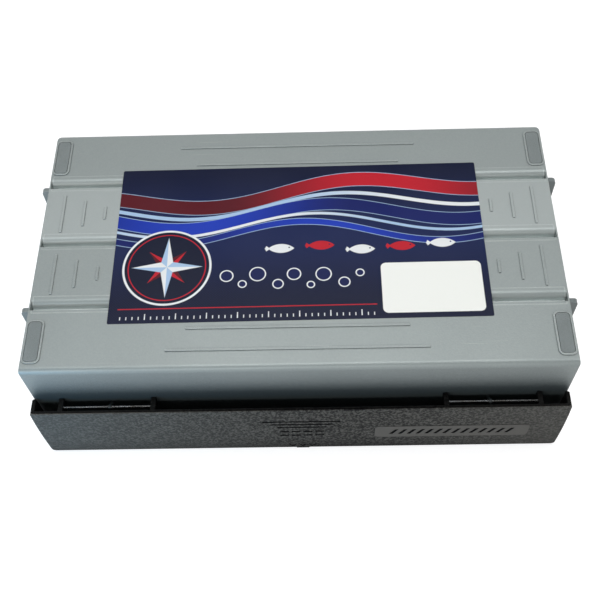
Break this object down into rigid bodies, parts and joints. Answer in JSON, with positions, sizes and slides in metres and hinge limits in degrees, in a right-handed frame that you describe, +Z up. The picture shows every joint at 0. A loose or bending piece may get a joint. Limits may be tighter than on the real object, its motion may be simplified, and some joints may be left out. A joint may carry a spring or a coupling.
{
  "type": "tackle box",
  "caption": "Deep tackle tray lying on its lid, with a full-width latch bar, a sealed hinged lid and compartments with removable cross dividers.",
  "frame": {"origin": "centre of the footprint on the floor the lid rests on", "axes": "+Z up from the floor, through the lid and out of the tray's bottom; +X along the length, to the right seen from the latch; +Y from the latch to the hinge"},
  "size_m": [0.3644, 0.2185, 0.1005],
  "materials": {
    "tray_plastic": "satin",
    "lid_plastic": "clear, slightly hazy",
    "latch_plastic": "fine grain",
    "divider_plastic": "milky, translucent",
    "seal_rubber": "matte",
    "pad_rubber": "matte",
    "pin_steel": "drawn wire",
    "label_paper": "glossy print"
  },
  "bodies": {
    "lid": {"lid": "lid_plastic", "lid_seal": "seal_rubber", "hinge_pin_left": "pin_steel", "hinge_pin_right": "pin_steel"},
    "tray": {"tray_shell": "tray_plastic", "label": "label_paper", "partition_1": "tray_plastic", "partition_2": "tray_plastic", "partition_3": "tray_plastic", "foot_pad_front_left": "pad_rubber", "foot_pad_front_right": "pad_rubber", "foot_pad_back_left": "pad_rubber", "foot_pad_back_right": "pad_rubber", "divider_row1_1": "divider_plastic", "divider_row1_2": "divider_plastic", "divider_row1_3": "divider_plastic", "divider_row1_4": "divider_plastic", "divider_row2_1": "divider_plastic", "divider_row2_2": "divider_plastic", "divider_row2_3": "divider_plastic", "divider_row2_4": "divider_plastic", "divider_row3_1": "divider_plastic", "divider_row3_2": "divider_plastic", "divider_row3_3": "divider_plastic", "divider_row3_4": "divider_plastic", "divider_row4_1": "divider_plastic", "divider_row4_2": "divider_plastic", "divider_row4_3": "divider_plastic", "divider_row4_4": "divider_plastic"},
    "latch": {"latch_bar": "latch_plastic", "latch_pin_left": "pin_steel", "latch_pin_right": "pin_steel"}
  },
  "joints": [
    {"name": "tray_hinge", "type": "hinge", "parent": "lid", "child": "tray", "pos_m": [0, 0.1053, 0.0121], "axis": [-1, 0, 0], "range_deg": [0, 100]},
    {"name": "latch_pivot", "type": "hinge", "parent": "tray", "child": "latch", "pos_m": [0, -0.1032, 0.06055], "axis": [-1, 0, 0], "range_deg": [0, 100]}
  ]
}
